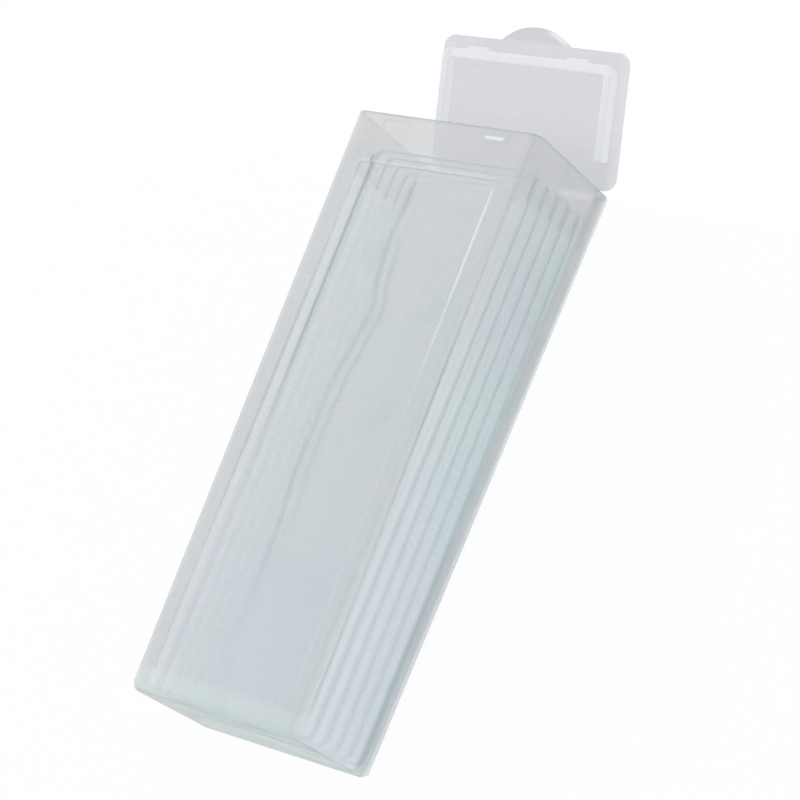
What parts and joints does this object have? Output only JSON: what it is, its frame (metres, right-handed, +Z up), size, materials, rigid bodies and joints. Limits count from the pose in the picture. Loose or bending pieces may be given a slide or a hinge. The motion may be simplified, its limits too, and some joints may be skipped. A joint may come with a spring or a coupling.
{
  "type": "microscope slide box",
  "caption": "Tapered translucent slide mailer with a flip lid on a living hinge and a thumb tab, holding glass microscope slides in ribbed slots.",
  "frame": {"origin": "centre of the back wall's outer face, on which the box lies", "axes": "+X across the width, +Y along the length towards the open mouth and the lid, +Z up through the front wall"},
  "size_m": [0.03, 0.0995, 0.0189],
  "materials": {
    "milky_plastic": "satin",
    "clear_glass": "polished"
  },
  "bodies": {
    "box": {"slide_box": "milky_plastic", "hinge_web": "milky_plastic", "glass_slide_1": "clear_glass", "glass_slide_2": "clear_glass", "glass_slide_3": "clear_glass", "glass_slide_4": "clear_glass", "glass_slide_5": "clear_glass"},
    "lid": {"flip_lid": "milky_plastic"}
  },
  "joints": [
    {"name": "lid_hinge", "type": "hinge", "parent": "box", "child": "lid", "pos_m": [0, 0.04014, 0.00038], "axis": [-1, 0, 0], "range_deg": [-64.8, 115.2], "deforming": ["hinge_web"]}
  ]
}
